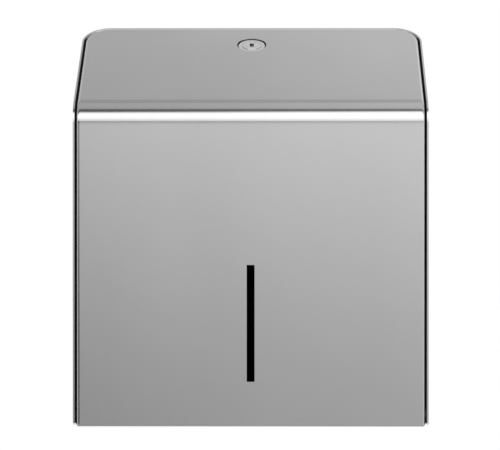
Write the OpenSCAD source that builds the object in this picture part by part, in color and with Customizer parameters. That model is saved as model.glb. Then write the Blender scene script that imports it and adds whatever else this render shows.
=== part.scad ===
// Wall-mounted jumbo toilet roll dispenser in folded stainless steel.
// A U-shaped shell is screwed to the wall. Between its cheeks a cover, made of the front
// panel and the sloping lid, drops forward on two studs near its lower edge. A key lock
// in the lid holds it shut. Inside, one roll turns on a hub, and its paper leaves through
// the bottom plate, between two toothed tear bars.
//
// Millimetres. X is the width, +Y points into the wall, +Z is up. The origin is the centre
// of the wall-screw pattern, on the shell's back face.

/* [Body] */
// Width over the two cheeks
body_w = 272; // [260:1:300]
// Depth from the wall to the front face
body_d = 124; // [121:1:135]
// Height from the cover's lower edge up to the shell's rim at the wall
body_h = 312.5; // [308:0.5:330]
// Outer radius of the bend between the front face and the lid
bend_r = 18; // [16:0.5:20]
// Slope of the lid above the horizontal, in degrees
lid_slope = 29; // [27:0.5:31]
// Height of the wall-screw pattern's centre above the cover's lower edge
pattern_h = 150; // [146:1:156]

/* [Shell] */
// Thickness of the shell's sheet
shell_t = 1.3; // [1.1:0.1:1.7]
// Outer radius of the two rear corners
corner_r = 22; // [21:0.5:26]
// How far the cheeks stop above the cover's lower edge
cheek_lift = 1.2; // [0.8:0.1:4]
// Radius of each cheek's lower front corner
cheek_low_r = 1.5; // [1:0.5:5]
// Distance between the wall screws across the width
screw_span_x = 160; // [140:5:180]
// Distance between the wall screws over the height
screw_span_z = 190; // [170:5:200]
// Radius of each wall-screw hole
screw_r = 3.2; // [2.5:0.1:4]

/* [Cover] */
// Thickness of the cover's sheet
cover_t = 1.2; // [1:0.1:1.5]
// Outer radius of the bends along the cover's two sides
edge_r = 2.5; // [2:0.1:3.5]
// Depth of the side flanges, square to the front and to the lid
flange_d = 14; // [12:0.5:15]
// Radius of the lid's two rear corners, seen from above
lid_corner_r = 19.5; // [19:0.1:21]
// Gap between the lid's rear edge and the shell's rim behind it
lid_rear_gap = 0.35; // [0.3:0.05:0.5]
// Depth of the lip round the lid's rear corners and along its rear edge
rear_lip_d = 2.4; // [2:0.1:3]
// Depth of the lip along the cover's lower edge
lip_d = 8; // [5:0.5:9]
// Radius of the hinge ears
ear_r = 9; // [7.5:0.5:9.5]
// Width of the level slot
slot_w = 6; // [5:0.2:9]
// Height of the level slot
slot_h = 89.3; // [70:0.1:110]
// Height of the slot's lower end above the cover's lower edge
slot_low = 34.3; // [30:0.1:45]
// Thickness of the level window
window_t = 1.5; // [1:0.1:2.5]
// How far the level window laps the slot on each side
window_lap = 5; // [3:0.5:8]

/* [Edge trim] */
// Width of the dark line between each cheek and the cover
reveal = 1; // [0.9:0.1:1.6]
// Running gap between the trim and the cover
trim_gap = 0.35; // [0.3:0.05:0.4]
// How far the trim lies below the steel faces
trim_sink = 1.2; // [0.5:0.1:1.6]
// Width of the trim strip, square to the front and to the lid
trim_d = 15; // [12:0.5:15.5]
// Distance from the wall at which the trim strips end
trim_back = 14; // [12:0.5:20]
// Bond line under a piece that is glued or spot-welded to the shell
bond = 0.1; // [0.05:0.05:0.15]

/* [Hinge] */
// Distance of the hinge axis from the front face, and from the cover's lower edge
hinge_in = 10; // [9.6:0.1:11]
// Radius of each hinge stud's shank
stud_r = 2.5; // [2:0.1:3]
// Radius of each hinge stud's welded foot
stud_foot_r = 4; // [3.5:0.1:5]
// Running clearance round every shaft, on the radius
run_gap = 0.06; // [0.03:0.01:0.09]
// Axial play at each turning piece
end_play = 0.2; // [0.1:0.05:0.3]
// Thickness of the retaining clips on the hinge studs and on the axle
clip_t = 0.9; // [0.7:0.1:1.2]
// Opening angle of the cover where its lip meets the bottom plate
open_stop = 105; // [100:1:108]

/* [Lock] */
// Distance of the lock's centre from the wall, measured on the lid
lock_back = 27.2; // [26:0.2:32]
// Radius of the lock's hole in the lid
lock_hole_r = 11.6; // [10.5:0.1:12.5]
// Annular gap between that hole and the lock's face
lock_face_gap = 1; // [0.5:0.1:1.2]
// Thickness of the rubber ring between the lid and the lock's flange
seal_t = 0.8; // [0.6:0.1:1.2]
// How far the lock's face lies below the lid
lock_sink = 0.7; // [0.3:0.1:0.9]
// Bevel on the edges of the lock's face and of its core
lock_bevel = 0.2; // [0.15:0.05:0.4]
// Radius of the lock's turning core
core_r = 7.5; // [6.5:0.1:8]
// Width of the groove round the core's head
core_groove_w = 0.5; // [0.3:0.1:0.8]
// Depth of that groove
core_groove_d = 0.9; // [0.5:0.1:1.5]
// How far the core stands out of the lock's face
core_rise = 0.3; // [0.1:0.1:0.4]
// Radius of the barrel's sleeve inside the dispenser
barrel_r = 9.5; // [9:0.1:10]
// Length of the barrel below the lid's outer face
barrel_len = 14; // [12:0.5:15]
// Length of the keyhole
key_len = 6.4; // [5:0.2:8]
// Width of the keyhole at its upper end
key_w = 3.5; // [2.6:0.1:4]
// Distance between the two studs that carry the barrel
lock_stud_span = 36; // [33:0.5:42]
// Reach of the cam from the lock's axis
cam_reach = 16; // [15:0.25:17]
// Width of the cam
cam_w = 10; // [8:0.5:11]
// Thickness of the cam
cam_t = 2; // [1.5:0.1:3]
// Width of the keeper that the cam turns under
keeper_w = 18; // [14:1:24]
// Sheet thickness of the keeper
keeper_t = 1.5; // [1.2:0.1:2]

/* [Spindle] */
// Height of the spindle above the cover's lower edge
spindle_h = 128; // [124:1:132]
// Side of the square plate that carries the axle
plate_w = 84; // [78:1:100]
// Thickness of that plate
plate_t = 2; // [1.5:0.1:3]
// Distance between the plate's studs
plate_stud_span = 60; // [54:1:66]
// Radius of the axle
axle_r = 5; // [4:0.1:6]
// Radius of the axle's welded foot
axle_foot_r = 14; // [12:0.5:18]
// Thickness of the axle's welded foot
axle_foot_t = 5; // [4.6:0.2:7]
// Thickness of the two washers
washer_t = 1.2; // [0.8:0.1:2]
// Radius of the hub where the roll's core sits
hub_r = 28; // [26:0.5:29]
// Wall of the hub's drum
hub_wall = 2.2; // [1.8:0.1:3]
// Radius of the hub's rear disc, which guides the roll
disc_r = 52; // [44:1:60]
// Thickness of the rear disc
disc_t = 2.6; // [2:0.1:4]
// Length of the hub from its rear face to the drum's front end
hub_len = 88; // [80:1:90]
// Length of the tapered nose at the hub's front end
nose_len = 7; // [4:0.5:10]

/* [Outlet] */
// Height of the bottom plate's underside above the cover's lower edge
deck_h = 12; // [11:0.5:14]
// Thickness of the bottom plate
deck_t = 1.2; // [1:0.1:1.6]
// Width of the paper outlet
outlet_w = 150; // [130:2:170]
// Width of the plate left in front of and behind the outlet
outlet_margin = 8; // [7:0.5:12]
// Height of the flanges that carry the tear bars
bar_flange_h = 8; // [7:0.5:9]
// Thickness of the tear bars
bar_t = 0.8; // [0.6:0.1:1.2]
// How far the teeth reach below their flange
bar_drop = 3; // [2:0.25:3.5]
// Pitch of the teeth
tooth_pitch = 3; // [2:0.5:5]
// Radius of the rivets in the tear bars
rivet_r = 1.5; // [1.2:0.1:2]

/* [Hidden] */
$fn = 96;
eps = 0.01;

// Finishes
steel = [0.70, 0.70, 0.70];
bright_steel = [0.78, 0.78, 0.78];
black_plastic = [0.05, 0.05, 0.05];
grey_plastic = [0.80, 0.80, 0.80];
zinc = [0.62, 0.64, 0.66];
brass = [0.72, 0.60, 0.34];
nylon = [0.88, 0.87, 0.82];

// Main planes
half_w = body_w / 2;
y_front = -body_d;
z_low = -pattern_h;
y_bend = y_front + bend_r;
sin_s = sin(lid_slope);
cos_s = cos(lid_slope);
tan_s = tan(lid_slope);
y_tan = y_bend - bend_r * sin_s;
// where the bend ends, on the lid and on the front face
z_tan = z_low + body_h + y_tan * tan_s;
z_bend = z_tan - bend_r * cos_s;
// a height and a width that reach well past the part, for cutting blocks
tall = body_h + body_d;
z_top = z_low + tall;
through = 20;
shell_in = half_w - shell_t;
cover_half = shell_in - reveal;
trim_t = reveal - trim_gap;
y_lid_rear = -shell_t - lid_rear_gap;
kiss = 0.05;

// Height of the lid's outer face at a depth y
function lid_z(y) = z_tan + (y - y_tan) * tan_s;
// Height at a depth y of the plane that lies n above the lid's outer face
function level_z(n, y) = lid_z(y) + n / cos_s;
// The (Y, Z) place that lies a up the slope from the lock's centre and n above the lid
function lid_point(a, n) =
    [-lock_back + a * cos_s - n * sin_s, lid_z(-lock_back) + a * sin_s + n * cos_s];

// Hinge
y_hinge = y_front + hinge_in;
z_hinge = z_low + hinge_in;
stud_hole_r = stud_r + run_gap;
groove = 0.4;
clip_lap = 2;
stud_tail = 1;

// Fasteners that repeat: M5 studs and nuts
m5_r = 2.5;
m5_nut_r = 4.62;
m5_nut_t = 4;
m5_hole_r = 2.8;
m5_tail = 1;
thread_gap = 0.05;

// Lock, in a frame whose origin is on the lid's outer face and whose +Z leaves the lid
y_lock = -lock_back;
lock_flange_r = 14;
lock_flange_t = 2;
lock_stud_r = 1.5;
lock_stud_out = 6;
lock_lug_r = 4.6;
lock_nut_r = 3.42;
lock_nut_t = 2.4;
n_face = -lock_sink;
n_seal = -cover_t - bond;
n_flange = n_seal - seal_t - bond;
core_head_t = 4;
core_neck_r = core_r - 1.6;
core_tail_r = 3.4;
cam_play = 0.6;
n_cam = -barrel_len - cam_play;
cam_hub_r = cam_w / 2 + 1.5;
cam_screw_r = 4.2;
cam_screw_t = 2.4;
cam_thread_r = 1.7;
cam_thread_len = 5;
key_depth = 5.5;
key_taper = 0.85;
key_post_r = 0.55;
key_post_sink = 1;
keeper_gap = 0.7;
keeper_clear = 1.2;
keeper_leg = 14;

// Spindle
z_spindle = z_low + spindle_h;
y_plate = -shell_t - bond;
y_axle = y_plate - plate_t;
y_foot = y_axle - axle_foot_t;
y_hub = y_foot - washer_t - end_play;
y_hub_front = y_hub - hub_len;
y_clip = y_hub_front - washer_t - end_play;
axle_tail = 1.6;
hub_tube_r = axle_r + 4;
hub_rib_t = 2.4;
hub_ribs = 6;
nose_drop = 3.5;
cap_t = 2.2;
cap_rise = 8;
cap_gap = 0.1;
plate_r = 9;

// Bottom plate. The cover's lip turns about the hinge and meets the front flange at open_stop.
z_deck = z_low + deck_h;
deck_flange_low = hinge_in - 8;
z_deck_low = z_low + deck_flange_low;
stop_gap = 0.3;
lip_reach = hinge_in * (sin(open_stop) - cos(open_stop));
y_deck = y_hinge + lip_reach + stop_gap;
weld_flange_h = 14;
weld_front = 12;
weld_rear = 6;
bar_len = -y_deck - 2 * outlet_margin;
rivet_head_r = rivet_r * 2;
rivet_head_t = 0.9;
rivets_per_bar = 3;

// ---- Shapes that repeat -------------------------------------------------------------

// A 2D shape drawn in (Y, Z), extruded along X between two places
module along_x(from, to) {
    translate([from, 0, 0])
        rotate([90, 0, 90])
            linear_extrude(to - from) children();
}

// The side profile: straight front, bend and sloping lid, taken in by inset all along.
// It runs back to y_back and down to z_floor, with its lower front corner rounded.
module profile(inset = 0, y_back = 0, z_floor = z_low, low_r = 0) {
    r = bend_r - inset;
    y_f = y_front + inset;
    z_back = lid_z(y_back) - inset / cos_s;
    polygon([
        [y_f + low_r, z_floor], [y_back, z_floor], [y_back, z_back],
        [y_bend - r * sin_s, z_bend + r * cos_s], [y_f, z_bend], [y_f, z_floor + low_r]
    ]);
    translate([y_bend, z_bend]) circle(r);
    if (low_r > 0) translate([y_f + low_r, z_floor + low_r]) circle(low_r);
}

// An outline seen from above: straight sides, open front and two round rear corners
module plan(half, y_rear, r) {
    y_near = y_front - 1;
    translate([-half, y_near]) square([2 * half, y_rear - r - y_near]);
    translate([r - half, y_near]) square([2 * (half - r), y_rear - y_near]);
    for (side = [-1, 1]) translate([side * (half - r), y_rear - r]) circle(r);
}

// The three outlines that nest in each other: shell outside, shell inside, cover
module shell_plan(in) plan(half_w - in, -in, corner_r - in);
module cover_plan(out = 0) plan(cover_half + out, y_lid_rear + out, lid_corner_r + out);

// The plan outlines extruded over the full height
module upright() {
    translate([0, 0, z_low - 1]) linear_extrude(tall) children();
}

// A bar's section with two rounded edges: X across, and Y inwards from its outer face
module soft_edged(half, r) {
    translate([-half, r]) square([2 * half, 2 * tall]);
    translate([r - half, 0]) square([2 * (half - r), 2 * tall]);
    for (side = [-1, 1]) translate([side * (half - r), r]) circle(r);
}

// Puts its children on the lid: the origin on the outer face, +Z square out of the lid,
// +Y up the slope
module on_lid() {
    translate([0, y_lock, lid_z(y_lock)]) rotate([lid_slope, 0, 0]) children();
}

// Puts its children on the hub's axis, +Z pointing from the wall to the front
module on_spindle(y = 0) {
    translate([0, y, z_spindle]) rotate([90, 0, 0]) children();
}

// Puts its children on the hinge axis at one cheek, +Z pointing inwards from it
module on_hinge(side) {
    translate([side * shell_in, y_hinge, z_hinge]) rotate([0, -side * 90, 0]) children();
}

module hex_nut(across_corners_r, bore, t) {
    difference() {
        cylinder(r = across_corners_r, h = t, $fn = 6);
        translate([0, 0, -eps]) cylinder(r = bore, h = t + 2 * eps);
    }
}

module washer(outer, bore, t) {
    difference() {
        cylinder(r = outer, h = t);
        translate([0, 0, -eps]) cylinder(r = bore, h = t + 2 * eps);
    }
}

module rounded_square(size, r) {
    inner = size / 2 - r;
    square([size, 2 * inner], center = true);
    square([2 * inner, size], center = true);
    for (x = [-inner, inner], y = [-inner, inner]) translate([x, y]) circle(r);
}

// ---- Housing ------------------------------------------------------------------------

// One sheet folded to a U: the back plate and both cheeks, with four studs for the spindle
module back_shell() {
    color(steel) {
        difference() {
            intersection() {
                upright() difference() {
                    shell_plan(0);
                    shell_plan(shell_t);
                }
                along_x(-half_w, half_w)
                    profile(z_floor = z_low + cheek_lift, low_r = cheek_low_r);
            }
            for (x = [-1, 1], z = [-1, 1])
                translate([x * screw_span_x / 2, eps, z * screw_span_z / 2])
                    rotate([90, 0, 0]) cylinder(r = screw_r, h = shell_t + 2 * eps);
        }
        for (x = [-1, 1], z = [-1, 1])
            translate([x, 0, z] * plate_stud_span / 2) on_spindle(-shell_t)
                cylinder(r = m5_r, h = bond + plate_t + m5_nut_t + m5_tail);
    }
}

// Dark moulded strip in the gap beside the cover; it follows the front, the bend and the lid
module edge_trim(side) {
    color(black_plastic) difference() {
        intersection() {
            translate([side > 0 ? 0 : -half_w, y_front - 1, z_low])
                cube([half_w, body_d + 1 - trim_back, tall]);
            upright() difference() {
                shell_plan(shell_t + bond);
                cover_plan(trim_gap);
            }
            along_x(-half_w, half_w) difference() {
                profile(inset = trim_sink, z_floor = z_low + cheek_lift + trim_sink);
                profile(inset = trim_d, z_floor = z_low, y_back = 1);
            }
        }
        on_hinge(side) translate([0, 0, -1]) cylinder(r = stud_foot_r + bond, h = reveal + 2);
    }
}

// Folded sheet across the bottom: deck, outlet, a front stop flange and two side flanges
module bottom_plate() {
    weld_from = y_deck + weld_front;
    weld_to = -corner_r - weld_rear;
    color(steel) {
        difference() {
            intersection() {
                upright() shell_plan(shell_t + bond);
                translate([-half_w, y_deck, z_deck]) cube([body_w, -y_deck, deck_t]);
            }
            translate([-outlet_w / 2, y_deck + outlet_margin, z_deck - 1])
                cube([outlet_w, bar_len, deck_t + 2]);
        }
        // front flange, the stop for the open cover
        translate([-cover_half + flange_d, y_deck, z_deck_low])
            cube([2 * (cover_half - flange_d), deck_t, z_deck - z_deck_low + eps]);
        for (side = [-1, 1]) {
            // side flange, spot-welded to the cheek
            translate([side * (shell_in - bond - deck_t / 2), 0, z_deck])
                translate([-deck_t / 2, weld_from, 0])
                    cube([deck_t, weld_to - weld_from, weld_flange_h]);
            // flange beside the outlet, for the tear bar
            difference() {
                translate([side * (outlet_w + deck_t) / 2, 0, z_deck - bar_flange_h])
                    translate([-deck_t / 2, y_deck + outlet_margin, 0])
                        cube([deck_t, bar_len, bar_flange_h + eps]);
                bar_rivet_places(side) cylinder(r = rivet_r + thread_gap, h = through, center = true);
            }
        }
    }
}

// Puts its children at each rivet of one tear bar, on the flange's face, +Z into the flange
module bar_rivet_places(side) {
    step = bar_len / rivets_per_bar;
    for (i = [0:rivets_per_bar - 1])
        translate([
            side * outlet_w / 2, y_deck + outlet_margin + (i + 0.5) * step,
            z_deck - bar_flange_h / 2
        ])
            rotate([0, side * 90, 0]) children();
}

// Toothed strip on the inner face of an outlet flange, teeth down
module tear_bar(side) {
    len = bar_len - 2;
    teeth = floor(len / tooth_pitch);
    root = -bar_flange_h;
    start = (len - teeth * tooth_pitch) / 2;
    color(bright_steel) difference() {
        translate([side * (outlet_w / 2 - bond - bar_t / 2), y_deck + outlet_margin + 1, z_deck])
            along_x(-bar_t / 2, bar_t / 2) {
                polygon(concat(
                    [[0, -eps], [0, root]],
                    [for (i = [0:teeth - 1], k = [0, 1])
                        [start + (i + k / 2) * tooth_pitch, root - k * bar_drop]],
                    [[start + teeth * tooth_pitch, root], [len, root], [len, -eps]]
                ));
            }
        bar_rivet_places(side) cylinder(r = rivet_r + thread_gap, h = through, center = true);
    }
}

module tear_bar_rivets() {
    color(zinc) for (side = [-1, 1]) bar_rivet_places(side) {
        translate([0, 0, -bond - bar_t - rivet_head_t - bond])
            cylinder(r = rivet_head_r, h = rivet_head_t);
        translate([0, 0, -bond - bar_t - 2 * bond])
            cylinder(r = rivet_r, h = bar_t + deck_t + 4 * bond);
        translate([0, 0, deck_t + bond]) cylinder(r = rivet_head_r, h = rivet_head_t);
    }
}

// Shouldered stud welded to a cheek; the cover's ear turns on its shank
module hinge_stud(side) {
    foot = trim_t;
    shank = reveal + cover_t + end_play;
    color(zinc) on_hinge(side) difference() {
        union() {
            cylinder(r = stud_foot_r, h = foot);
            cylinder(r = stud_r, h = shank + clip_t + stud_tail);
        }
        translate([0, 0, shank]) difference() {
            cylinder(r = stud_r + 1, h = clip_t);
            translate([0, 0, -eps]) cylinder(r = stud_r - groove, h = clip_t + 2 * eps);
        }
    }
}

module hinge_clips() {
    color(bright_steel) for (side = [-1, 1]) on_hinge(side)
        translate([0, 0, reveal + cover_t + end_play + run_gap])
            washer(stud_r + clip_lap, stud_r - groove + run_gap, clip_t - 2 * run_gap);
}

// ---- Spindle ------------------------------------------------------------------------

module spindle_plate() {
    color(zinc) on_spindle(y_plate) difference() {
        linear_extrude(plate_t) rounded_square(plate_w, plate_r);
        for (x = [-1, 1], y = [-1, 1])
            translate([x * plate_stud_span / 2, y * plate_stud_span / 2, -1])
                cylinder(r = m5_hole_r, h = plate_t + 2);
    }
}

module spindle_nuts() {
    color(zinc) for (x = [-1, 1], z = [-1, 1])
        translate([x, 0, z] * plate_stud_span / 2)
            on_spindle(y_axle) hex_nut(m5_nut_r, m5_r + thread_gap, m5_nut_t);
}

module spindle_axle() {
    len = y_foot - y_clip + clip_t + axle_tail + axle_foot_t;
    color(zinc) on_spindle(y_axle) difference() {
        union() {
            cylinder(r = axle_foot_r, h = axle_foot_t);
            cylinder(r = axle_r, h = len);
        }
        translate([0, 0, y_axle - y_clip]) difference() {
            cylinder(r = axle_r + 1, h = clip_t);
            translate([0, 0, -eps]) cylinder(r = axle_r - groove, h = clip_t + 2 * eps);
        }
    }
}

module rear_washer() {
    color(nylon) on_spindle(y_foot)
        washer(axle_foot_r - 1, axle_r + run_gap, washer_t);
}

module front_washer() {
    color(nylon) on_spindle(y_clip + washer_t)
        washer(hub_tube_r, axle_r + run_gap, washer_t);
}

module axle_clip() {
    color(bright_steel) on_spindle(y_clip - run_gap)
        washer(axle_r + clip_lap + 1, axle_r - groove + run_gap, clip_t - 2 * run_gap);
}

// Turning hub: bored tube, six ribs, a drum for the roll's core and a rear guide disc
module spindle_hub() {
    drum_len = hub_len - nose_len;
    color(black_plastic) on_spindle(y_hub) difference() {
        union() {
            cylinder(r = disc_r, h = disc_t);
            difference() {
                union() {
                    cylinder(r = hub_r, h = drum_len);
                    translate([0, 0, drum_len])
                        cylinder(r1 = hub_r, r2 = hub_r - nose_drop, h = nose_len);
                }
                translate([0, 0, disc_t])
                    cylinder(r = hub_r - hub_wall, h = drum_len - disc_t + eps);
                translate([0, 0, drum_len])
                    cylinder(r = hub_r - nose_drop - hub_wall, h = nose_len + 1);
            }
            cylinder(r = hub_tube_r, h = hub_len);
            for (i = [0:hub_ribs - 1]) rotate(i * 360 / hub_ribs)
                translate([0, -hub_rib_t / 2, 0])
                    cube([hub_r - hub_wall / 2, hub_rib_t, drum_len]);
        }
        translate([0, 0, -1]) cylinder(r = axle_r + run_gap, h = hub_len + 2);
    }
}

// Cap pressed into the drum's nose; it hides the axle's end
module hub_cap() {
    rim_r = hub_r - nose_drop - 0.8;
    plug_r = hub_r - nose_drop - hub_wall - cap_gap;
    color(black_plastic) on_spindle(y_hub_front) {
        difference() {
            union() {
                translate([0, 0, cap_gap]) cylinder(r = rim_r, h = cap_rise - cap_t);
                translate([0, 0, cap_rise - cap_t + cap_gap])
                    cylinder(r1 = rim_r, r2 = rim_r - cap_t, h = cap_t);
                translate([0, 0, -nose_len / 2]) cylinder(r = plug_r, h = nose_len / 2 + 1);
            }
            translate([0, 0, -nose_len / 2 - 1])
                cylinder(r = plug_r - hub_wall, h = nose_len / 2 + cap_rise - cap_t + 1);
        }
    }
}

// ---- Cover --------------------------------------------------------------------------

// Front panel and lid in one sheet, with bent sides, hinge ears and two studs for the lock
module front_cover() {
    color(steel) difference() {
        union() {
            intersection() {
                difference() {
                    cover_solid(0);
                    cover_solid(cover_t);
                    along_x(-half_w, half_w)
                        profile(inset = flange_d, y_back = 2, z_floor = z_low - flange_d);
                }
                upright() cover_plan();
            }
            lid_lip();
            translate([cover_t - cover_half, y_front + cover_t / 2, z_low])
                cube([2 * (cover_half - cover_t), lip_d - cover_t / 2, cover_t]);
            for (side = [-1, 1]) on_hinge(side)
                translate([0, 0, reveal]) cylinder(r = ear_r, h = cover_t);
            for (x = [-1, 1]) on_lid()
                translate([x * lock_stud_span / 2, 0, n_flange - lock_flange_t - lock_stud_out])
                    cylinder(r = lock_stud_r,
                        h = lock_flange_t + lock_stud_out - n_flange - cover_t / 2);
        }
        for (side = [-1, 1]) on_hinge(side) cylinder(r = stud_hole_r, h = flange_d);
        along_x(-slot_w / 2, slot_w / 2)
            translate([y_front - 1, z_low + slot_low]) square([cover_t + 2, slot_h]);
        on_lid() translate([0, 0, -cover_t - 1]) cylinder(r = lock_hole_r, h = cover_t + 2);
    }
}

// The cover's envelope as a solid, taken in by inset: the side profile, whose edges along
// the front and the lid are rounded by two soft-edged bars
module cover_solid(inset) {
    half = cover_half - inset;
    r = edge_r - inset;
    intersection() {
        along_x(-half_w, half_w) profile(inset = inset, y_back = 1, z_floor = z_low - inset);
        translate([0, y_front + inset - kiss, z_low - tall])
            linear_extrude(3 * tall) soft_edged(half, r);
        on_lid() translate([0, -2 * tall, kiss - inset]) rotate([-90, 0, 0])
            linear_extrude(4 * tall) soft_edged(half, r);
    }
}

// The narrow lip folded down round the lid's rear corners and along its rear edge
module lid_lip() {
    intersection() {
        upright() difference() {
            cover_plan();
            cover_plan(-cover_t);
        }
        along_x(-half_w, half_w) difference() {
            profile(inset = cover_t / 2);
            profile(inset = rear_lip_d, y_back = 1);
            translate([y_front, z_low]) square([y_lid_rear - lid_corner_r - y_front, tall]);
        }
    }
}

// Smoked strip bonded behind the level slot
module level_window() {
    color([0.03, 0.03, 0.035]) translate([
        -slot_w / 2 - window_lap, y_front + cover_t + bond, z_low + slot_low - window_lap
    ])
        cube([slot_w + 2 * window_lap, window_t, slot_h + 2 * window_lap]);
}

// ---- Lock ---------------------------------------------------------------------------

// Fixed barrel: a face that shows in the lid's hole, an oval flange and a bored sleeve
module lock_barrel() {
    face_r = lock_hole_r - lock_face_gap;
    color(grey_plastic) on_lid() difference() {
        union() {
            translate([0, 0, n_flange - eps])
                cylinder(r = face_r, h = n_face - lock_bevel - n_flange + eps);
            translate([0, 0, n_face - lock_bevel])
                cylinder(r1 = face_r, r2 = face_r - lock_bevel, h = lock_bevel);
            translate([0, 0, n_flange - lock_flange_t]) {
                cylinder(r = lock_flange_r, h = lock_flange_t);
                for (x = [-1, 1]) translate([x * lock_stud_span / 2, 0, 0])
                    cylinder(r = lock_lug_r, h = lock_flange_t);
                translate([-lock_stud_span / 2, -lock_lug_r, 0])
                    cube([lock_stud_span, 2 * lock_lug_r, lock_flange_t]);
            }
            translate([0, 0, -barrel_len])
                cylinder(r = barrel_r, h = barrel_len + n_flange);
        }
        translate([0, 0, n_face - core_head_t])
            cylinder(r = core_r + run_gap, h = core_head_t + 1);
        translate([0, 0, n_face - core_groove_d])
            cylinder(r = core_r + core_groove_w, h = core_groove_d + 1);
        translate([0, 0, -barrel_len - 1])
            cylinder(r = core_neck_r + run_gap, h = barrel_len);
        for (x = [-1, 1]) translate([x * lock_stud_span / 2, 0, n_flange - lock_flange_t - 1])
            cylinder(r = lock_stud_r + thread_gap, h = lock_flange_t + 2);
    }
}

// Rubber ring round the lock's face, clamped between the lid and the flange
module lock_seal() {
    color(black_plastic) on_lid() translate([0, 0, n_seal - seal_t])
        washer(lock_flange_r, lock_hole_r - lock_face_gap + thread_gap, seal_t);
}

module lock_nuts() {
    color(zinc) on_lid() for (x = [-1, 1])
        translate([x * lock_stud_span / 2, 0, n_flange - lock_flange_t - bond - lock_nut_t])
            hex_nut(lock_nut_r, lock_stud_r + thread_gap, lock_nut_t);
}

// Turning core: head with the keyhole, neck, and a tail that carries the cam
module lock_core() {
    color(grey_plastic) on_lid() {
        difference() {
            union() {
                translate([0, 0, n_face - core_head_t + end_play])
                    cylinder(r = core_r, h = core_head_t + core_rise - end_play - lock_bevel);
                translate([0, 0, n_face + core_rise - lock_bevel])
                    cylinder(r1 = core_r, r2 = core_r - lock_bevel, h = lock_bevel);
                translate([0, 0, n_cam]) cylinder(r = core_neck_r, h = n_face - n_cam - 1);
                translate([0, 0, n_cam - cam_t + 0.3])
                    cylinder(r = core_tail_r, h = cam_t);
            }
            translate([0, 0, n_face - key_depth]) linear_extrude(key_depth + 1) keyhole();
            translate([0, 0, n_cam - cam_t]) cylinder(r = cam_thread_r + thread_gap, h = cam_thread_len);
        }
        translate([0, key_len / 8, n_face - key_depth])
            cylinder(r = key_post_r, h = key_depth - key_post_sink, $fn = 24);
    }
}

// Wider at its upper end, with a round lower end
module keyhole() {
    low_r = key_w * key_taper / 2;
    polygon([
        [-key_w / 2, key_len / 2], [key_w / 2, key_len / 2],
        [low_r, low_r - key_len / 2], [-low_r, low_r - key_len / 2]
    ]);
    translate([0, low_r - key_len / 2]) circle(low_r);
}

// Flat cam, turned aside at rest: the lock is open. A quarter turn brings it under the keeper.
module lock_cam() {
    color(zinc) on_lid() translate([0, 0, n_cam - cam_t]) difference() {
        union() {
            cylinder(r = cam_hub_r, h = cam_t);
            translate([0, -cam_w / 2, 0]) cube([cam_reach - cam_w / 2, cam_w, cam_t]);
            translate([cam_reach - cam_w / 2, 0, 0]) cylinder(r = cam_w / 2, h = cam_t);
        }
        translate([0, 0, -eps]) cylinder(r = core_tail_r + thread_gap, h = cam_t + 2 * eps);
    }
}

module cam_screw() {
    color(zinc) on_lid() {
        translate([0, 0, n_cam - cam_t - cam_screw_t - thread_gap])
            cylinder(r = cam_screw_r, h = cam_screw_t);
        translate([0, 0, n_cam - cam_t - 2 * thread_gap])
            cylinder(r = cam_thread_r, h = cam_thread_len - 0.5);
    }
}

// Folded bracket on the back plate; its shelf lies just above the locked cam
module lock_keeper() {
    y_wall = -shell_t - bond;
    low = n_cam + keeper_gap;
    from = barrel_r + keeper_clear;
    z_leg = level_z(low, y_wall) - keeper_leg;
    color(zinc) along_x(-keeper_w / 2, keeper_w / 2) polygon([
        lid_point(from, low), lid_point(from, low + keeper_t),
        [y_wall, level_z(low + keeper_t, y_wall)], [y_wall, z_leg],
        [y_wall - keeper_t, z_leg], [y_wall - keeper_t, level_z(low, y_wall - keeper_t)]
    ]);
}

back_shell();
edge_trim(-1);  // edge_trim_left
edge_trim(1);  // edge_trim_right
bottom_plate();
tear_bar(-1);  // tear_bar_left
tear_bar(1);  // tear_bar_right
tear_bar_rivets();
hinge_stud(-1);  // hinge_stud_left
hinge_stud(1);  // hinge_stud_right
hinge_clips();
spindle_plate();
spindle_nuts();
spindle_axle();
rear_washer();
front_washer();
axle_clip();
lock_keeper();
front_cover();
level_window();
lock_barrel();
lock_nuts();
lock_seal();
lock_core();
lock_cam();
cam_screw();
spindle_hub();
hub_cap();
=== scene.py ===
"""Looks of the jumbo toilet roll dispenser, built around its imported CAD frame.

Sizes below are millimetres in the CAD frame: X right, +Y into the wall, Z up, origin at the
centre of the wall-screw pattern. Everything handed to Blender is in metres.
"""

import math

import bpy
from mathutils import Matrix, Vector
from mathutils.geometry import tessellate_polygon


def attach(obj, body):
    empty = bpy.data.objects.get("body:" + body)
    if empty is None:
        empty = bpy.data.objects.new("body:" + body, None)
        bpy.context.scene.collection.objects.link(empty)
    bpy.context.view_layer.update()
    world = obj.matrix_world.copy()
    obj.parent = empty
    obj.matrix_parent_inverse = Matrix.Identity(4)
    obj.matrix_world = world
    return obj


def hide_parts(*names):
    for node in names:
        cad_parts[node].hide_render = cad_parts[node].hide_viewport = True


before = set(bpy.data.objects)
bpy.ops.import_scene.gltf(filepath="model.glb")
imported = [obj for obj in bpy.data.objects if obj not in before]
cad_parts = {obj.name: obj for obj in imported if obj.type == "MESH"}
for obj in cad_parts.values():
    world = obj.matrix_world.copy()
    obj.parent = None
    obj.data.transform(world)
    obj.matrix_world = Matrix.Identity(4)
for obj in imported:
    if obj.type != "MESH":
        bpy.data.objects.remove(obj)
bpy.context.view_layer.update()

MM = 0.001

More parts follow.
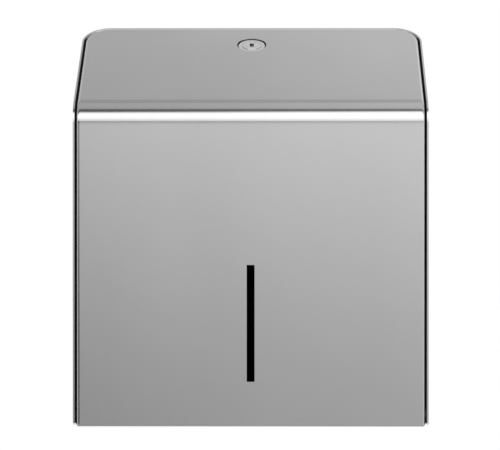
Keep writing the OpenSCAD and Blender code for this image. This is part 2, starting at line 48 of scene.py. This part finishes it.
# ---- Sizes that the looks share with the CAD source ------------------------------------
Y_FRONT = -124.0
Z_LOW = -150.0
BODY_H = 312.5
BEND_R = 18.0
LID_SLOPE = math.radians(29.0)
COVER_HALF = 133.7
COVER_T = 1.2
EDGE_R = 3.0
FLANGE_D = 14.0
LID_CORNER_R = 19.5
LID_REAR_Y = -1.65
REAR_LIP_D = 2.4
BOTTOM_LIP_D = 8.0
HINGE_IN = 10.0
EAR_R = 9.0
STUD_HOLE_R = 2.56
SLOT_W = 6.0
SLOT_H = 89.3
SLOT_LOW = 34.3
LOCK_BACK = 27.2
LOCK_HOLE_R = 11.6
LOCK_STUD_SPAN = 36.0
LOCK_STUD_R = 1.5
LOCK_STUD_LEN = 9.3

SIN, COS = math.sin(LID_SLOPE), math.cos(LID_SLOPE)
Y_BEND = Y_FRONT + BEND_R
Y_TAN = Y_BEND - BEND_R * SIN
Z_TAN = Z_LOW + BODY_H + Y_TAN * SIN / COS
Z_BEND = Z_TAN - BEND_R * COS
BEND_ANGLE = math.pi / 2 - LID_SLOPE
S_BEND = Z_BEND - Z_LOW  # developed length where the bend starts, from the lower edge
S_LID = S_BEND + BEND_R * BEND_ANGLE  # and where the flat lid starts

ACROSS = Vector((1, 0, 0))
BACK = Vector((0, 1, 0))
UP = Vector((0, 0, 1))
LID_UP = Vector((0, COS, SIN))
LID_OUT = Vector((0, -SIN, COS))

# ---- Camera, from the photograph's perspective -----------------------------------------
IMAGE_W = 500
FOCAL_PX = 2707.0
SENSOR = 36.0
CAMERA_AT = (19.9 * MM, -2191.7 * MM, 20.5 * MM)
CAMERA_TURN = 0.00985  # radians to its left
CAMERA_TILT = -0.0079  # and upwards
CAMERA_REACH = 100.0  # metres


def make_camera():
    data = bpy.data.cameras.new("camera")
    data.sensor_fit = "HORIZONTAL"
    data.sensor_width = SENSOR
    data.lens = SENSOR * FOCAL_PX / IMAGE_W
    data.clip_end = CAMERA_REACH
    camera = bpy.data.objects.new("camera", data)
    camera.location = CAMERA_AT
    camera.rotation_euler = (math.pi / 2 + CAMERA_TILT, 0.0, CAMERA_TURN)
    bpy.context.scene.collection.objects.link(camera)
    bpy.context.scene.camera = camera


# ---- Node materials --------------------------------------------------------------------
class Nodes:
    """Short calls for building a node tree: a new material's, or one that is there."""

    def __init__(self, name=None, tree=None):
        if tree is None:
            self.material = bpy.data.materials.new(name)
            self.material.use_nodes = True
            tree = self.material.node_tree
            self.shader = tree.nodes["Principled BSDF"]
        self.tree = tree

    def add(self, kind, inputs=None, **settings):
        node = self.tree.nodes.new(kind)
        for key, value in settings.items():
            setattr(node, key, value)
        for key, value in (inputs or {}).items():
            self.put(node.inputs[key], value)
        return node

    def put(self, socket, value):
        if isinstance(value, bpy.types.NodeSocket):
            self.tree.links.new(value, socket)
        else:
            socket.default_value = value

    def set(self, **values):
        for key, value in values.items():
            self.put(self.shader.inputs[key.replace("_", " ")], value)

    def scaled_place(self, scale):
        place = self.add("ShaderNodeTexCoord").outputs["Object"]
        mapping = self.add("ShaderNodeMapping", {"Vector": place, "Scale": scale})
        return mapping.outputs["Vector"]

    def noise(self, scale, detail=3.0, rough=0.5):
        node = self.add(
            "ShaderNodeTexNoise",
            {
                "Vector": self.scaled_place(scale),
                "Scale": 1.0,
                "Detail": detail,
                "Roughness": rough,
            },
        )
        return node.outputs["Fac"]

    def span(self, value, low, high, start=0.3, stop=0.7):
        """Maps a value from start..stop to low..high."""
        node = self.add(
            "ShaderNodeMapRange",
            {
                "Value": value,
                "From Min": start,
                "From Max": stop,
                "To Min": low,
                "To Max": high,
            },
        )
        return node.outputs["Result"]

    def math(self, operation, a, b):
        node = self.add("ShaderNodeMath", operation=operation)
        self.put(node.inputs[0], a)
        self.put(node.inputs[1], b)
        return node.outputs[0]

    def mix(self, factor, a, b):
        node = self.add("ShaderNodeMix", data_type="RGBA")
        self.put(node.inputs["Factor"], factor)
        self.put(node.inputs[6], a)
        self.put(node.inputs[7], b)
        return node.outputs[2]

    def bump(self, height, distance):
        node = self.add("ShaderNodeBump", {"Height": height, "Distance": distance})
        self.put(self.shader.inputs["Normal"], node.outputs["Normal"])


def grey(value):
    return (value, value, value, 1.0)


def spread(a, b, count):
    return [a + (b - a) * i / count for i in range(count + 1)]


def turns(count):
    return [2 * math.pi * i / count for i in range(count)]


# Noise cells per metre
X_GRAIN = (3000, 20, 20)
Z_GRAIN = (3000, 3000, 20)
CLOUDS = (9, 9, 5)
MOULD_GRAIN = (900, 900, 900)
MARKS = (40, 40, 40)
MOTTLE = (300, 300, 300)
FLOOR_GRAIN = (3, 3, 3)
# Depth of the bump in metres
STEEL_BUMP = 0.0000004
MOULD_BUMP = 0.00001
PLATE_BUMP = 0.000003


def steel(name, tone, rough, grain, cloud=0.012):
    """Satin sheet: a fine grain along one direction, soft clouds, and a grain in the bump."""
    m = Nodes(name)
    streaks = m.noise(grain, detail=4.0, rough=0.6)
    clouds = m.span(m.noise(CLOUDS, detail=2.0), 1 - cloud, 1 + cloud)
    shade = m.math("MULTIPLY", m.span(streaks, 0.985, 1.015), clouds)
    dark, light = grey(tone * 0.8), grey(tone * 1.2)
    m.set(
        Base_Color=m.mix(m.span(shade, 0, 1, 0.8, 1.2), dark, light),
        Metallic=1.0,
        Roughness=m.span(streaks, rough * 0.94, rough * 1.06),
    )
    m.bump(streaks, STEEL_BUMP)
    return m.material


def plastic(name, tone, rough, tint=(1, 1, 1), gloss=0.5):
    """Moulded plastic: a fine matte grain and faint handling marks in the gloss."""
    m = Nodes(name)
    fine = m.noise(MOULD_GRAIN, detail=2.0)
    marks = m.noise(MARKS)
    low = tuple(tone * 0.85 * c for c in tint) + (1,)
    high = tuple(tone * 1.15 * c for c in tint) + (1,)
    m.set(
        Base_Color=m.mix(m.span(fine, 0, 1), low, high),
        Roughness=m.span(marks, rough * 0.9, rough * 1.1),
        Specular_IOR_Level=gloss,
    )
    m.bump(fine, MOULD_BUMP)
    return m.material


def plated(name, tint, rough):
    """Zinc or nickel plate: fine mottling in tone and gloss."""
    m = Nodes(name)
    mottle = m.noise(MOTTLE, detail=4.0)
    low = tuple(0.92 * c for c in tint) + (1,)
    high = tuple(min(1.0, 1.06 * c) for c in tint) + (1,)
    m.set(
        Base_Color=m.mix(m.span(mottle, 0, 1), low, high),
        Metallic=1.0,
        Roughness=m.span(mottle, rough * 0.85, rough * 1.15),
    )
    m.bump(mottle, PLATE_BUMP)
    return m.material


# ---- Studio ----------------------------------------------------------------------------
# A wide curved screen stands in front of the part and over it, seen only in reflections.
# Its rows: elevation in degrees seen from the part, radiance on the left, and on the right
SCREEN_LIGHT = (
    (-22.0, 0.26, 0.33),
    (-12.0, 0.33, 0.43),
    (-6.4, 0.44, 0.57),
    (-3.0, 0.525, 0.675),
    (0.5, 0.69, 0.83),
    (3.0, 0.82, 0.91),
    (7.0, 0.92, 1.00),
    (11.0, 1.20, 1.30),
    (17.0, 1.40, 1.50),
    (21.5, 1.66, 1.72),
    (44.2, 1.66, 1.72),
    (50.2, 0.10, 1.72),
    (55.5, 0.09, 0.12),
    (63.0, 0.08, 0.12),
    (69.0, 0.52, 0.68),
    (104.0, 0.54, 0.72),
    (112.0, 0.51, 0.66),
    (117.0, 0.14, 0.17),
    (120.0, 0.545, 0.59),
    (126.0, 0.64, 0.89),
    (145.0, 0.82, 1.00),
)
SCREEN_BLEND = (-0.34, 0.42)  # metres across, where left gives way to right
# What the light is multiplied by far to the left, by metres across, low on the screen
SCREEN_DARK = ((-6.0, 0.5), (-5.4, 0.12), (-1.0, 0.12), (-0.5, 1.0), (6.0, 1.0))
DARK_TOP = (-3.0, 17.0)  # elevations between which that gives way to the plain light
SCREEN_RADIUS = 4.0
SCREEN_HALF = 6.0
SCREEN_ROWS = 60
SCREEN_PEAK = 2.0  # the ramps hold values up to 1, and are scaled by this
# Side walls: radiance low and high on the left one, and on the right one
WALL_LIGHT = ((0.80, 1.00), (0.90, 1.00))
WALL_RISE = (1.0, 2.2)  # metres above the part, where low gives way to high
WALL_Y = (-4.2, 1.6)
WALL_Z = (-1.6, 7.0)


def ramp(m, place, stops, low, high, peak):
    """A colour ramp with stops given as (place, value), for a place from 0 to 1."""
    node = m.add("ShaderNodeValToRGB", {"Fac": place})
    elements = node.color_ramp.elements
    for i, (at, value) in enumerate(stops):
        spot = (at - low) / (high - low)
        element = elements[i] if i < 2 else elements.new(spot)
        element.position = spot
        element.color = grey(value / peak)
    return node.outputs["Color"]


def glow_nodes(name):
    """A material with nothing in it yet, for glow_of() to finish."""
    m = Nodes(name)
    m.tree.nodes.clear()
    return m


def glow_of(m, strength):
    glow = m.add("ShaderNodeEmission", {"Strength": strength})
    out = m.add("ShaderNodeOutputMaterial")
    m.tree.links.new(glow.outputs["Emission"], out.inputs["Surface"])


def stage_reflected(name, mesh, material):
    """Links a glowing mesh into the scene, seen in reflections and nowhere else."""
    mesh.materials.append(material)
    made = bpy.data.objects.new(name, mesh)
    bpy.context.scene.collection.objects.link(made)
    made.visible_camera = False
    made.visible_diffuse = False
    made.visible_shadow = False


def make_screen():
    low, high = SCREEN_LIGHT[0][0], SCREEN_LIGHT[-1][0]
    rows = spread(low, high, SCREEN_ROWS)
    points = []
    for elevation in rows:
        a = math.radians(elevation)
        y, z = -SCREEN_RADIUS * math.cos(a), SCREEN_RADIUS * math.sin(a)
        points += [(-SCREEN_HALF, y, z), (SCREEN_HALF, y, z)]
    faces = [(i, i + 1, i + 3, i + 2) for i in range(0, len(points) - 2, 2)]
    mesh = bpy.data.meshes.new("studio_screen")
    mesh.from_pydata(points, [], faces)
    uv = mesh.uv_layers.new(name="screen")
    for loop, place in zip(mesh.loops, uv.data):
        row, side = divmod(loop.vertex_index, 2)
        place.uv = (side, row / (len(rows) - 1))
    stage_reflected("studio_screen", mesh, screen_material(low, high))


def screen_material(low, high):
    m = glow_nodes("studio_screen")
    place = m.add("ShaderNodeUVMap", uv_map="screen").outputs["UV"]
    split = m.add("ShaderNodeSeparateXYZ", {"Vector": place})
    across, up = split.outputs["X"], split.outputs["Y"]
    left, right = (
        ramp(m, up, [(row[0], row[k]) for row in SCREEN_LIGHT], low, high, SCREEN_PEAK)
        for k in (1, 2)
    )
    starts = [(x + SCREEN_HALF) / (2 * SCREEN_HALF) for x in SCREEN_BLEND]
    light = m.mix(m.span(across, 0, 1, *starts), left, right)
    dark = ramp(m, across, SCREEN_DARK, -SCREEN_HALF, SCREEN_HALF, 1.0)
    starts = [(e - low) / (high - low) for e in DARK_TOP]
    dark = m.mix(m.span(up, 0, 1, *starts), dark, grey(1.0))
    glow_of(m, m.math("MULTIPLY", m.math("MULTIPLY", light, dark), SCREEN_PEAK))
    return m.material


def make_wall(side, low, high):
    """A glowing wall beside the part, like the screen."""
    (y0, y1), (z0, z1) = WALL_Y, WALL_Z
    name = "studio_left" if side < 0 else "studio_right"
    mesh = bpy.data.meshes.new(name)
    x = side * SCREEN_HALF
    mesh.from_pydata([(x, y0, z0), (x, y1, z0), (x, y1, z1), (x, y0, z1)], [], [(0, 1, 2, 3)])
    m = glow_nodes(name)
    place = m.add("ShaderNodeTexCoord").outputs["Object"]
    height = m.add("ShaderNodeSeparateXYZ", {"Vector": place}).outputs["Z"]
    glow_of(m, m.span(height, low, high, *WALL_RISE))
    stage_reflected(name, mesh, m.material)


KEY_ELEVATION = 35.0
KEY_X = 0.6
KEY_SIZE = 2.0
KEY_DISTANCE = 3.6
KEY_POWER = 30.0


def make_key():
    """A soft lamp in front of the bright part of the screen, for the shadows."""
    data = bpy.data.lights.new("key", "AREA")
    data.shape = "SQUARE"
    data.size = KEY_SIZE
    data.energy = KEY_POWER
    key = bpy.data.objects.new("key", data)
    a = math.radians(KEY_ELEVATION)
    key.location = (KEY_X, -KEY_DISTANCE * math.cos(a), KEY_DISTANCE * math.sin(a))
    key.rotation_euler = (-Vector(key.location)).to_track_quat("-Z", "Y").to_euler()
    key.visible_glossy = False
    bpy.context.scene.collection.objects.link(key)


def seen_directly(m):
    """1 for camera, glossy and transmission rays, 0 for the rest."""
    path = m.add("ShaderNodeLightPath")
    seen = m.math("MAXIMUM", path.outputs["Is Camera Ray"], path.outputs["Is Glossy Ray"])
    return m.math("MAXIMUM", seen, path.outputs["Is Transmission Ray"])


FLOOR_DROP = 1.0  # metres from the part's lower edge to the floor
FLOOR_GLOW = 0.5  # the white that the floor shows in any shade
FLOOR_SIZE = 60


def make_floor():
    bpy.ops.mesh.primitive_plane_add(size=FLOOR_SIZE, location=(0, 0, Z_LOW * MM - FLOOR_DROP))
    floor = bpy.context.object
    floor.name = "floor"
    m = Nodes("floor")
    fine = m.noise(FLOOR_GRAIN)
    m.set(Base_Color=m.mix(m.span(fine, 0, 1), grey(0.84), grey(0.9)), Roughness=0.9)
    glow = m.add("ShaderNodeEmission")
    m.put(glow.inputs["Strength"], m.math("MULTIPLY", seen_directly(m), FLOOR_GLOW))
    both = m.add("ShaderNodeAddShader")
    out = m.tree.nodes["Material Output"]
    m.tree.links.new(m.shader.outputs[0], both.inputs[0])
    m.tree.links.new(glow.outputs[0], both.inputs[1])
    m.tree.links.new(both.outputs[0], out.inputs["Surface"])
    floor.data.materials.append(m.material)


ROOM_LIGHT = 0.55
WHITE = 1.0


def make_world():
    world = bpy.data.worlds.new("studio")
    bpy.context.scene.world = world
    world.use_nodes = True
    tree = world.node_tree
    tree.nodes.clear()
    m = Nodes(tree=tree)
    room = m.add("ShaderNodeBackground", {"Color": grey(1.0), "Strength": ROOM_LIGHT})
    white = m.add("ShaderNodeBackground", {"Color": grey(1.0), "Strength": WHITE})
    both = m.add("ShaderNodeMixShader", {"Fac": seen_directly(m)})
    out = m.add("ShaderNodeOutputWorld")
    tree.links.new(room.outputs[0], both.inputs[1])
    tree.links.new(white.outputs[0], both.inputs[2])
    tree.links.new(both.outputs[0], out.inputs["Surface"])


def make_studio():
    make_screen()
    for side, light in zip((-1, 1), WALL_LIGHT):
        make_wall(side, *light)
    make_key()
    make_floor()
    make_world()


# ---- Mesh building ---------------------------------------------------------------------
class Skin:
    """Collects vertices and faces with a normal for each face corner, in millimetres."""

    def __init__(self):
        self.points, self.faces, self.normals = [], [], []

    def vertex(self, point):
        self.points.append(Vector(point) * MM)
        return len(self.points) - 1

    def face(self, corners, normals):
        """Adds a face, turned so that it looks the way its corner normals do."""
        a, b, c = (self.points[corners[i]] for i in (0, 1, 2))
        facing = (b - a).cross(c - a)
        if len(corners) == 4:
            facing += (c - a).cross(self.points[corners[3]] - a)
        if facing.dot(sum((Vector(n) for n in normals), Vector())) < 0:
            corners, normals = corners[::-1], normals[::-1]
        self.faces.append(tuple(corners))
        self.normals.extend(normals)

    def flat(self, corners, normal):
        self.face(list(corners), [normal] * len(corners))

    def strip(self, row_a, row_b, normals_a, normals_b, skip=()):
        """Joins two closed rows, but for the pairs of neighbours in skip."""
        count = len(row_a)
        for i in range(count):
            j = (i + 1) % count
            if (i, j) in skip:
                continue
            self.face(
                [row_a[i], row_a[j], row_b[j], row_b[i]],
                [normals_a[i], normals_a[j], normals_b[j], normals_b[i]],
            )

    def fill(self, loops, plane, normal):
        """Fills the flat region between closed loops. plane gives a point's 2D place."""
        flat = [[Vector((*plane(self.points[v]), 0)) for v in loop] for loop in loops]
        every = [v for loop in loops for v in loop]
        for triangle in tessellate_polygon(flat):
            self.flat([every[i] for i in triangle], normal)

    def make(self, name, material):
        mesh = bpy.data.meshes.new(name)
        mesh.from_pydata(self.points, [], self.faces)
        for polygon in mesh.polygons:
            polygon.use_smooth = True
        mesh.normals_split_custom_set([tuple(Vector(n).normalized()) for n in self.normals])
        mesh.materials.append(material)
        made = bpy.data.objects.new(name, mesh)
        bpy.context.scene.collection.objects.link(made)
        return made


# ---- Cover -----------------------------------------------------------------------------
# The cover is drawn flat, as it was before folding: x across and s up the front, round the
# bend and up the lid. fold() puts a point of that drawing, at a depth below the outer face,
# into its place.
FRONT_SINK = 0.075  # the press leaves the front this much below the bend's start
FRONT_SINK_RUN = 1.0
LID_SINK = 0.06  # and the bend's end this much below the lid
LID_SINK_RUN = 1.3
S_MARK = S_LID + 0.8  # the edge of the mark on the lid


def press_mark(s):
    """Depth of the press marks at s, and its slope."""
    if s <= S_BEND:
        left = math.exp((s - S_BEND) / FRONT_SINK_RUN)
        return FRONT_SINK * (1 - left), -FRONT_SINK / FRONT_SINK_RUN * left
    if s < S_MARK:
        t = (s - S_BEND) / (S_MARK - S_BEND)
        return LID_SINK * t, LID_SINK / (S_MARK - S_BEND)
    left = math.exp((S_MARK - s) / LID_SINK_RUN)
    return LID_SINK * left, -LID_SINK / LID_SINK_RUN * left


def fold(x, s, depth):
    """The folded place of a point of the flat drawing, with the face's normal and the
    direction of growing s there."""
    mark, slope = press_mark(s)
    depth += mark
    if s <= S_BEND:
        turn = 0.0
        point = (x, Y_FRONT + depth, Z_LOW + s)
    elif s < S_LID:
        turn = (s - S_BEND) / BEND_R
        r = BEND_R - depth
        point = (x, Y_BEND - r * math.cos(turn), Z_BEND + r * math.sin(turn))
    else:
        turn = BEND_ANGLE
        run = s - S_LID
        point = (x, Y_TAN + run * COS + depth * SIN, Z_TAN + run * SIN - depth * COS)
    normal = Vector((0, -math.cos(turn), math.sin(turn)))
    along = Vector((0, math.sin(turn), math.cos(turn)))
    return point, (normal + along * slope).normalized(), along


def s_at(y):
    return S_LID + (y - Y_TAN) / COS


LOW_CORNER_R = 1.6
REAR_FOLD_R = 0.8
LOW_FOLD_R = 0.3
MIN_FOLD_R = 0.06  # of the sheet's inner face
LIP_REACH = 0.1  # how far the rear lip hangs below its fold, at least
LIP_SHARE = 0.25  # of the rear corner, in which the flange gives way to the lip
S_PLANE_FRONT = S_BEND - 8.0  # below this the front is flat
S_PLANE_LID = S_LID + 8.0  # and above this the lid is
S_HINGE_WALL = 24.0
LID_CORNER_Y = LID_REAR_Y - LID_CORNER_R  # where the lid's rear corners start
# Steps of the mesh
ROWS_HINGE = 24
ROWS_NEAR = 16
ROWS_BEND = 40
ROWS_MARK = 3
ROWS_LID = 4
LOW_CORNER_STEPS = 8
LID_CORNER_STEPS = 20
ARC_STEPS = 8
LOCK_HOLE_STEPS = 96
HINGE_HOLE_STEPS = 48
STUD_STEPS = 32


def bend_rows():
    near = [(k / ROWS_NEAR) ** 2 for k in range(ROWS_NEAR + 1)]
    rows = [S_BEND + (S_PLANE_FRONT - S_BEND) * t for t in near[::-1]]
    rows += spread(S_BEND, S_LID, ROWS_BEND)[1:]
    rows += spread(S_LID, S_MARK, ROWS_MARK)[1:]
    return rows + [S_MARK + (S_PLANE_LID - S_MARK) * t for t in near[1:]]


def ear_depth(s):
    """Depth of the side flange at s, with the hinge ear's round outline."""
    off = abs(s - HINGE_IN)
    ear = HINGE_IN + math.sqrt(EAR_R**2 - off**2) if off < EAR_R else 0.0
    return max(FLANGE_D, ear)


def lean(s):
    """How far the flange hangs straight down (1), as it does round the rear, and not square
    to the lid (0)."""
    return min(1.0, max(0.0, (s - S_PLANE_LID) / (s_at(LID_CORNER_Y) - S_PLANE_LID)))


def half_outline():
    """Samples from the middle of the lower edge, round the right side to the middle of the
    rear edge: x, s, inward direction in the drawing, fold radius, flange depth."""
    out = [(0.0, 0.0, 0.0, 1.0, LOW_FOLD_R, BOTTOM_LIP_D)]
    side = COVER_HALF
    for i, a in enumerate(spread(-90, 0, LOW_CORNER_STEPS)):
        c, d = math.cos(math.radians(a)), math.sin(math.radians(a))
        x, s = side - LOW_CORNER_R * (1 - c), LOW_CORNER_R * (1 + d)
        t = i / LOW_CORNER_STEPS
        r = LOW_FOLD_R + (EDGE_R - LOW_FOLD_R) * t
        deep = BOTTOM_LIP_D + (ear_depth(LOW_CORNER_R) - BOTTOM_LIP_D) * t
        out.append((x, s, -c, -d, r, deep))
    rows = spread(LOW_CORNER_R, S_HINGE_WALL, ROWS_HINGE)[1:] + bend_rows()
    rows += spread(S_PLANE_LID, s_at(LID_CORNER_Y), ROWS_LID)[1:-1]
    out += [(side, s, -1.0, 0.0, EDGE_R, ear_depth(s)) for s in rows]
    for i, a in enumerate(spread(0, 90, LID_CORNER_STEPS)):
        c, d = math.cos(math.radians(a)), math.sin(math.radians(a))
        x = side - LID_CORNER_R * (1 - c)
        s = s_at(LID_CORNER_Y + LID_CORNER_R * d)
        inward = Vector((-c, -d * COS)).normalized()
        t = i / LID_CORNER_STEPS
        r = EDGE_R + (REAR_FOLD_R - EDGE_R) * t
        deep = REAR_LIP_D + (FLANGE_D - REAR_LIP_D) * max(0.0, 1 - t / LIP_SHARE)
        out.append((x, s, inward.x, inward.y, r, max(deep, r + LIP_REACH)))
    out.append((0.0, s_at(LID_REAR_Y), 0.0, -1.0, REAR_FOLD_R, REAR_LIP_D))
    return out


def outline():
    right = half_outline()
    left = [(-x, s, -ix, is_, r, d) for x, s, ix, is_, r, d in right[1:-1]]
    return right + left[::-1]


def cover_rows(skin, samples, inner):
    """Rows of the folded edge, from the flange's end to the face, with their normals."""
    rows, normals = [], []
    arc = [math.pi / 2 * k / ARC_STEPS for k in range(ARC_STEPS + 1)]
    for k in range(-1, ARC_STEPS + 1):
        row, row_normals = [], []
        for x, s, ix, is_, r, deep in samples:
            base = COVER_T if inner else 0.0
            bend = max(r - base, MIN_FOLD_R)
            a = arc[max(k, 0)]
            inset = base + bend * (1 - math.cos(a))
            depth = deep if k < 0 else base + bend * (1 - math.sin(a))
            px, ps = x + ix * inset, s + is_ * inset
            ps -= lean(s) * depth * SIN / COS
            point, face, along = fold(px, ps, depth)
            out = Vector((-ix, 0, 0)) - along * is_
            normal = out * math.cos(a) + face * math.sin(a)
            row.append(skin.vertex(point))
            row_normals.append(-normal if inner else normal)
        rows.append(row)
        normals.append(row_normals)
    return rows, normals


def lock_ring(skin, depth):
    """The edge of the lock's hole."""
    centre, r = s_at(-LOCK_BACK), LOCK_HOLE_R
    loop = []
    for a in turns(LOCK_HOLE_STEPS):
        point, _, _ = fold(r * math.cos(a), centre + r * math.sin(a), depth)
        loop.append(skin.vertex(point))
    return loop


def rectangle(skin, half, low, high, depth):
    corners = ((-half, low), (half, low), (half, high), (-half, high))
    return [skin.vertex(fold(x, s, depth)[0]) for x, s in corners]


def along_lid(p):
    return p.x, p.y * COS + p.z * SIN


def along_front(p):
    return p.x, p.z


def cover_faces(skin, samples, row, depth, sign):
    """Fills the face inside the folded edge: front with slot, bend rows, lid with hole."""
    right_of = {round(sample[1], 6): i for i, sample in enumerate(samples) if sample[0] > 0}
    left_of = {round(sample[1], 6): i for i, sample in enumerate(samples) if sample[0] < 0}
    on_rows = [round(s, 6) for s in bend_rows()]
    for a, b in zip(on_rows, on_rows[1:]):
        ids = (right_of[a], right_of[b], left_of[b], left_of[a])
        normals = [fold(0, s, 0)[1] * sign for s in (a, b, b, a)]
        skin.face([row[i] for i in ids], normals)
    first, last = right_of[on_rows[0]], right_of[on_rows[-1]]
    first_left, last_left = left_of[on_rows[0]], left_of[on_rows[-1]]
    front_normal = fold(0, 0, 0)[1] * sign
    lid_normal = fold(0, s_at(-LOCK_BACK), 0)[1] * sign
    front = row[: first + 1] + row[first_left:]
    slot = rectangle(skin, SLOT_W / 2, SLOT_LOW, SLOT_LOW + SLOT_H, depth)
    skin.fill([front, slot], along_front, front_normal)
    lid = row[last : last_left + 1]
    hole = lock_ring(skin, depth)
    skin.fill([lid, hole], along_lid, lid_normal)
    return slot, hole


def hinge_wall(skin, rows, samples, side, inner):
    """The flat flange round the hinge hole, which joins the first strip's two rows."""
    ids = [
        i
        for i, sample in enumerate(samples)
        if sample[0] * side == COVER_HALF and sample[1] <= S_HINGE_WALL + 1e-6
    ]
    upper = [rows[1][i] for i in ids]
    lower = [rows[0][i] for i in ids]
    x = side * (COVER_HALF - (COVER_T if inner else 0.0))
    hole = []
    for a in turns(HINGE_HOLE_STEPS):
        y = Y_FRONT + HINGE_IN + STUD_HOLE_R * math.cos(a)
        hole.append(skin.vertex((x, y, Z_LOW + HINGE_IN + STUD_HOLE_R * math.sin(a))))
    normal = Vector((-side if inner else side, 0, 0))
    skin.fill([upper + lower[::-1], hole], lambda p: (p.y, p.z), normal)
    return set(zip(ids, ids[1:])) | set(zip(ids[1:], ids)), hole


def make_cover(material):
    skin = Skin()
    samples = outline()
    edges, slots, holes, hinges = [], [], [], []
    for inner in (False, True):
        rows, normals = cover_rows(skin, samples, inner)
        taken = set()
        for side in (-1, 1):
            pairs, hole = hinge_wall(skin, rows, samples, side, inner)
            taken |= pairs
            hinges.append(hole)
        for k in range(len(rows) - 1):
            skip = taken if k == 0 else ()
            skin.strip(rows[k], rows[k + 1], normals[k], normals[k + 1], skip)
        depth = COVER_T if inner else 0.0
        slot, hole = cover_faces(skin, samples, rows[-1], depth, -1 if inner else 1)
        edges.append(rows[0])
        slots.append(slot)
        holes.append(hole)
    close_edges(skin, samples, edges, slots, holes, hinges)
    add_lock_studs(skin)
    cover = skin.make("cover_sheet", material)
    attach(cover, "cover")
    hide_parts("front_cover")


def close_edges(skin, samples, edges, slots, holes, hinges):
    """The sheet's cut edges: flange ends, slot, lock hole and hinge holes."""
    inwards = [-fold(x, s, 0)[1] for x, s, *_ in samples]
    for i in range(len(samples)):
        j = (i + 1) % len(samples)
        normal = (inwards[i] + inwards[j]).normalized()
        skin.flat([edges[0][i], edges[0][j], edges[1][j], edges[1][i]], normal)
    for i, normal in enumerate((UP, -ACROSS, -UP, ACROSS)):
        j = (i + 1) % 4
        skin.flat([slots[0][i], slots[0][j], slots[1][j], slots[1][i]], normal)
    inward = [-ACROSS * math.cos(a) - LID_UP * math.sin(a) for a in turns(LOCK_HOLE_STEPS)]
    skin.strip(holes[0], holes[1], inward, inward)
    inward = [-BACK * math.cos(a) - UP * math.sin(a) for a in turns(HINGE_HOLE_STEPS)]
    for outer, inner in zip(hinges[:2], hinges[2:]):
        skin.strip(outer, inner, inward, inward)


STUD_SINK = 0.3  # how far the studs reach into the sheet


def add_lock_studs(skin):
    """Two welded studs under the lid, which carry the lock."""
    face = Vector(fold(0, s_at(-LOCK_BACK), COVER_T)[0])
    around = [ACROSS * math.cos(a) + LID_UP * math.sin(a) for a in turns(STUD_STEPS)]
    for side in (-1, 1):
        base = face + ACROSS * (side * LOCK_STUD_SPAN / 2) + LID_OUT * STUD_SINK
        rows = [
            [skin.vertex(base + out * LOCK_STUD_R - LID_OUT * down) for out in around]
            for down in (0, LOCK_STUD_LEN)
        ]
        skin.strip(rows[0], rows[1], around, around)
        skin.flat(rows[1], -LID_OUT)
        skin.flat(rows[0], LID_OUT)


# ---- Whole part ------------------------------------------------------------------------
COVER_CLOUD = 0.024


def dress_nodes():
    zinc = plated("zinc_plate", (0.60, 0.61, 0.63), 0.32)
    finishes = {
        "back_shell": steel("shell_steel", 0.62, 0.18, Z_GRAIN),
        "bottom_plate": steel("plate_steel", 0.62, 0.26, X_GRAIN),
        # The side trims are black plastic, and their near-black tone also paints the shadow of
        # the gaps between cover and cheeks.
        "edge_trim_left": plastic("trim_black_and_gap_shade", 0.008, 0.6, gloss=0.15),
        # The level window is made near-black and without gloss: painted shade for the dark
        # inside of the dispenser seen through the slot.
        "level_window": plastic("window_painted_shade", 0.0004, 0.5, gloss=0.0),
        "tear_bar_left": steel("tear_steel", 0.70, 0.18, X_GRAIN),
        "lock_barrel": plated("lock_face", (0.84, 0.84, 0.84), 0.26),
        "lock_core": plated("lock_core", (0.82, 0.82, 0.82), 0.24),
        # The lock seal is a near-black ring in the gap round the lock: painted shade for the
        # shadow in that gap.
        "lock_seal": plastic("lock_gap_painted_shade", 0.008, 0.7, gloss=0.1),
        "rear_washer": plastic("nylon", 0.78, 0.5, tint=(1, 0.98, 0.92)),
        "spindle_hub": plastic("hub_plastic", 0.02, 0.42),
    }
    finishes["edge_trim_right"] = finishes["edge_trim_left"]
    finishes["tear_bar_right"] = finishes["tear_bar_left"]
    finishes["front_washer"] = finishes["rear_washer"]
    finishes["hub_cap"] = finishes["spindle_hub"]
    for name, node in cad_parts.items():
        material = finishes.get(name, zinc)
        for place in node.material_slots:
            place.material = material


def main():
    scene = bpy.context.scene
    scene.view_settings.view_transform = "Standard"
    make_camera()
    make_studio()
    dress_nodes()
    make_cover(steel("cover_steel", 0.62, 0.17, X_GRAIN, COVER_CLOUD))


main()
